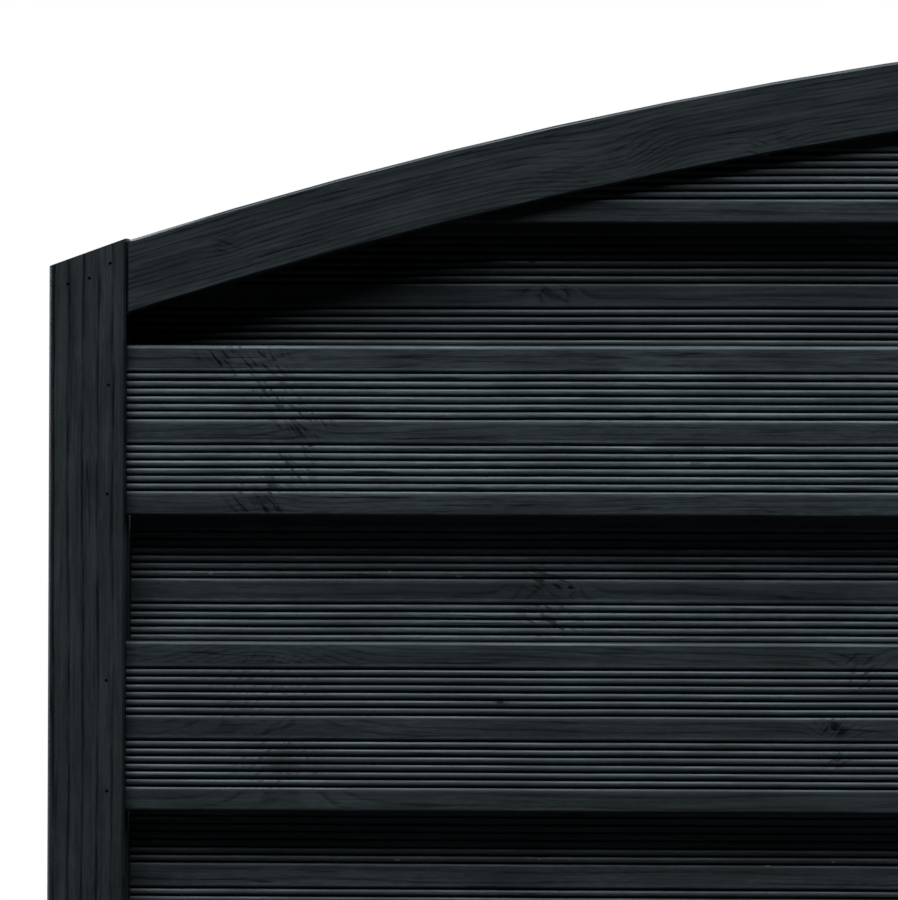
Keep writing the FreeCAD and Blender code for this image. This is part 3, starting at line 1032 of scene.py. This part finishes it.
# Lamps: degrees left of square in front, degrees up, metres away, width and height in metres, and their share
# of the key lamp's radiance. The side lamps stand behind the front face, which they don't reach.
SOFTBOXES = {
    "key_softbox": (22, 59, 9.0, 6.2, 5.2, 1.0),
    "back_softbox": (200, 50, 9.0, 6.2, 5.2, 0.6),
    "left_softbox": (112, 25, 7.0, 4.0, 4.0, 0.6),
    "right_softbox": (-112, 25, 7.0, 4.0, 4.0, 0.6),
}


class FENCE_OT_studio(bpy.types.Operator):
    """Lay the floor and place the lamps, the sky and the camera"""

    bl_idname = "fence.studio"
    bl_label = "Studio"

    def lay_floor(self, settings):
        """A pale floor that shows the panel's shadow, and throws little light on the dark stain."""
        bpy.ops.object.select_all(action="DESELECT")
        bpy.ops.mesh.primitive_plane_add(size=120, location=(PANEL_MIDDLE, 0, FOOT))
        floor = bpy.context.active_object
        floor.name = "studio_floor"
        apply_place(floor)
        material = bpy.data.materials.new("pale_floor")
        material.use_nodes = True
        tree = material.node_tree
        shader = tree.nodes["Principled BSDF"]
        input_value(shader, "Roughness", 0.9)
        input_value(shader, "Emission Color", (1.0, 1.0, 0.99, 1.0))
        seen = tree.nodes.new("ShaderNodeLightPath").outputs["Is Camera Ray"]
        colour = add_mix(tree, seen, (0.008, 0.008, 0.008), (0.12, 0.12, 0.119))
        tree.links.new(colour, shader.inputs["Base Color"])
        glow = add_math(tree, "MULTIPLY", seen, settings.floor_level)
        tree.links.new(glow, shader.inputs["Emission Strength"])
        floor.data.materials.append(material)

    def light_sky(self, settings):
        world = bpy.data.worlds.new("studio_sky")
        bpy.context.scene.world = world
        world.use_nodes = True
        tree = world.node_tree
        tree.nodes.clear()
        end = tree.nodes.new("ShaderNodeOutputWorld")
        backdrop = tree.nodes.new("ShaderNodeBackground")
        input_value(backdrop, "Color", (1.0, 1.0, 1.0, 1.0))
        input_value(backdrop, "Strength", 1.0)
        fill = tree.nodes.new("ShaderNodeBackground")
        input_value(fill, "Color", (0.9, 0.96, 1.0, 1.0))
        input_value(fill, "Strength", settings.fill_level)
        mix = tree.nodes.new("ShaderNodeMixShader")
        seen = tree.nodes.new("ShaderNodeLightPath").outputs["Is Camera Ray"]
        tree.links.new(seen, mix.inputs[0])
        tree.links.new(fill.outputs[0], mix.inputs[1])
        tree.links.new(backdrop.outputs[0], mix.inputs[2])
        tree.links.new(mix.outputs[0], end.inputs[0])

    def add_softbox(self, name, azimuth, elevation, distance, width, height, radiance):
        """A large soft lamp aimed at the panel's middle, azimuth degrees left of square in front."""
        turn, rise = math.radians(azimuth), math.radians(elevation)
        level = math.cos(rise)
        toward = Vector((-math.sin(turn) * level, -math.cos(turn) * level, math.sin(rise)))
        lamp = bpy.data.lights.new(name, "AREA")
        lamp.shape = "RECTANGLE"
        lamp.size, lamp.size_y = width, height
        lamp.energy = radiance * math.pi * width * height
        holder = bpy.data.objects.new(name, lamp)
        bpy.context.scene.collection.objects.link(holder)
        holder.location = Vector((PANEL_MIDDLE, 0, 0)) + toward * distance
        holder.rotation_euler = (-toward).to_track_quat("-Z", "Y").to_euler()
        holder.visible_camera = False

    def place_camera(self, settings):
        lens = bpy.data.cameras.new("photo_camera")
        lens.sensor_width = 36
        lens.sensor_fit = "HORIZONTAL"
        lens.lens = settings.camera_lens
        lens.clip_end = 200
        camera = bpy.data.objects.new("photo_camera", lens)
        bpy.context.scene.collection.objects.link(camera)
        turn, rise, roll = settings.camera_turn, settings.camera_rise, settings.camera_roll
        ahead = Vector((-math.sin(turn) * math.cos(rise), math.cos(turn) * math.cos(rise), math.sin(rise)))
        right = Vector((math.cos(turn), math.sin(turn), 0))
        up = right.cross(ahead)
        rolled_right = right * math.cos(roll) + up * math.sin(roll)
        rolled_up = up * math.cos(roll) - right * math.sin(roll)
        matrix = camera.matrix_world.copy()
        for row in range(3):
            matrix[row][0] = rolled_right[row]
            matrix[row][1] = rolled_up[row]
            matrix[row][2] = -ahead[row]
            matrix[row][3] = settings.camera_place[row]
        camera.matrix_world = matrix
        bpy.context.scene.camera = camera

    def execute(self, context):
        settings = context.scene.fence_studio
        self.lay_floor(settings)
        self.light_sky(settings)
        for name, (*place, share) in SOFTBOXES.items():
            self.add_softbox(name, *place, settings.lamp_radiance * share)
        self.place_camera(settings)
        context.scene.view_settings.view_transform = "Standard"
        return {"FINISHED"}


class FENCE_PT_sidebar(bpy.types.Panel):
    """The fence panel's steps and settings"""

    bl_idname = "FENCE_PT_sidebar"
    bl_label = "Ribbed Fence Panel"
    bl_space_type = "VIEW_3D"
    bl_region_type = "UI"
    bl_category = "Fence"

    def draw(self, context):
        layout = self.layout
        for group, operators in (
            (context.scene.fence_boards, ("fence.boards",)),
            (context.scene.fence_timbers, ("fence.timbers", "fence.nails")),
            (context.scene.fence_finish, ()),
            (context.scene.fence_studio, ("fence.studio",)),
        ):
            box = layout.box()
            for name in group.bl_rna.properties.keys():
                if name not in ("rna_type", "name"):
                    box.prop(group, name)
            for operator in operators:
                box.operator(operator)


CLASSES = (
    FenceBoardSettings,
    FenceTimberSettings,
    FenceFinishSettings,
    FenceStudioSettings,
    FENCE_OT_boards,
    FENCE_OT_timbers,
    FENCE_OT_nails,
    FENCE_OT_studio,
    FENCE_PT_sidebar,
)


def register():
    for item in CLASSES:
        bpy.utils.register_class(item)
    bpy.types.Scene.fence_boards = bpy.props.PointerProperty(type=FenceBoardSettings)
    bpy.types.Scene.fence_timbers = bpy.props.PointerProperty(type=FenceTimberSettings)
    bpy.types.Scene.fence_finish = bpy.props.PointerProperty(type=FenceFinishSettings)
    bpy.types.Scene.fence_studio = bpy.props.PointerProperty(type=FenceStudioSettings)


def unregister():
    del bpy.types.Scene.fence_studio
    del bpy.types.Scene.fence_finish
    del bpy.types.Scene.fence_timbers
    del bpy.types.Scene.fence_boards
    for item in reversed(CLASSES):
        bpy.utils.unregister_class(item)


def main():
    register()
    make_knot_group()
    make_chip_group()
    make_grain_group()
    bpy.ops.fence.boards()
    bpy.ops.fence.timbers()
    bpy.ops.fence.nails()
    bpy.ops.fence.studio()


if __name__ == "__main__":
    main()
